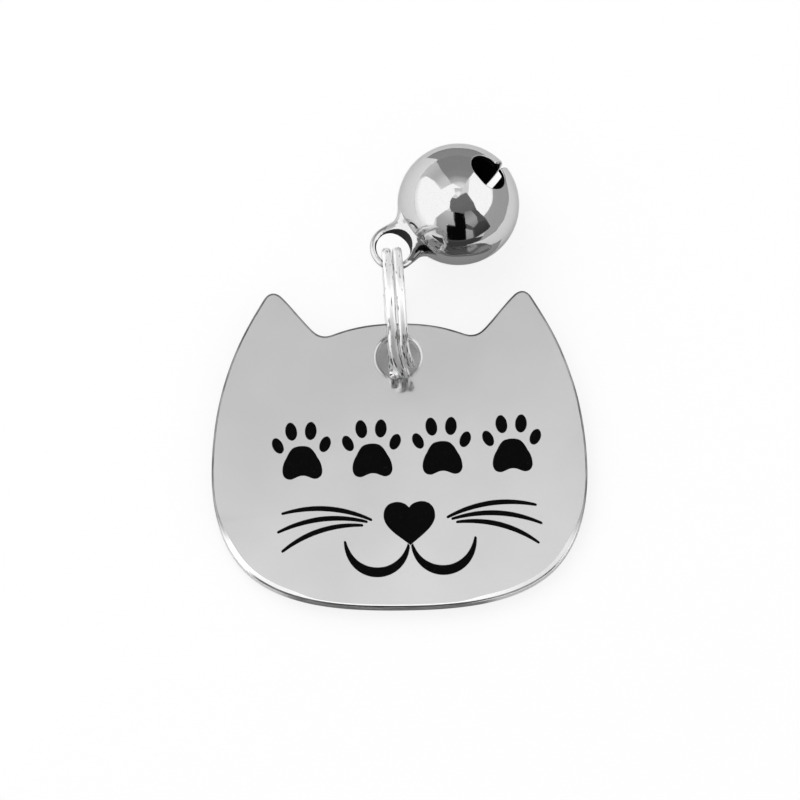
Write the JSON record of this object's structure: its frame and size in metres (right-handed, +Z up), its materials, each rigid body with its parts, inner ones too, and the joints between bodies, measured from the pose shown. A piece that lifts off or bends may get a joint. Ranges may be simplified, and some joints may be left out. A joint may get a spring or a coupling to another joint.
{
  "type": "pet id tag",
  "caption": "Flat polished cat-head pet tag with black-filled engraving, hung on a small split ring that also carries a ball bell with a loose pea.",
  "frame": {"origin": "on the table the tag lies on, under the middle of the whole object's box", "axes": "+X to the viewer's right across the tag, +Y from its chin to its ears and on to the bell, +Z up out of the engraved face"},
  "size_m": [0.03, 0.0372, 0.0105],
  "materials": {
    "tag_steel": "mirror polished stainless steel",
    "black_fill": "baked black paint in the engraving",
    "ring_plating": "bright nickel plating on spring steel",
    "bell_plating": "bright nickel plating on brass sheet",
    "pea_steel": "plain steel ball"
  },
  "bodies": {
    "tag": {"tag_plate": "tag_steel", "nose_fill": "black_fill", "mouth_fill": "black_fill", "left_whiskers_fill": "black_fill", "right_whiskers_fill": "black_fill", "paw_fill_1": "black_fill", "paw_fill_2": "black_fill", "paw_fill_3": "black_fill", "paw_fill_4": "black_fill"},
    "ring": {"split_ring": "ring_plating"},
    "bell": {"bell_body": "bell_plating", "bell_eye": "bell_plating"},
    "pea": {"bell_pea": "pea_steel"}
  },
  "joints": [
    {"name": "ring_swing", "type": "hinge", "parent": "tag", "child": "ring", "pos_m": [0, 0.00403, 0.0018], "axis": [0.9977, 0.068, 0], "range_deg": [-145, 2]},
    {"name": "bell_swing", "type": "hinge", "parent": "ring", "child": "bell", "pos_m": [-0.00037, 0.00987, 0.00576], "axis": [0.1085, 0.0815, 0.9907], "range_deg": [-30, 140]},
    {"name": "pea_roll", "type": "hinge", "parent": "bell", "child": "pea", "pos_m": [0.0048, 0.01376, 0.00487], "axis": [0.7923, 0.5949, -0.1357], "continuous": true}
  ]
}
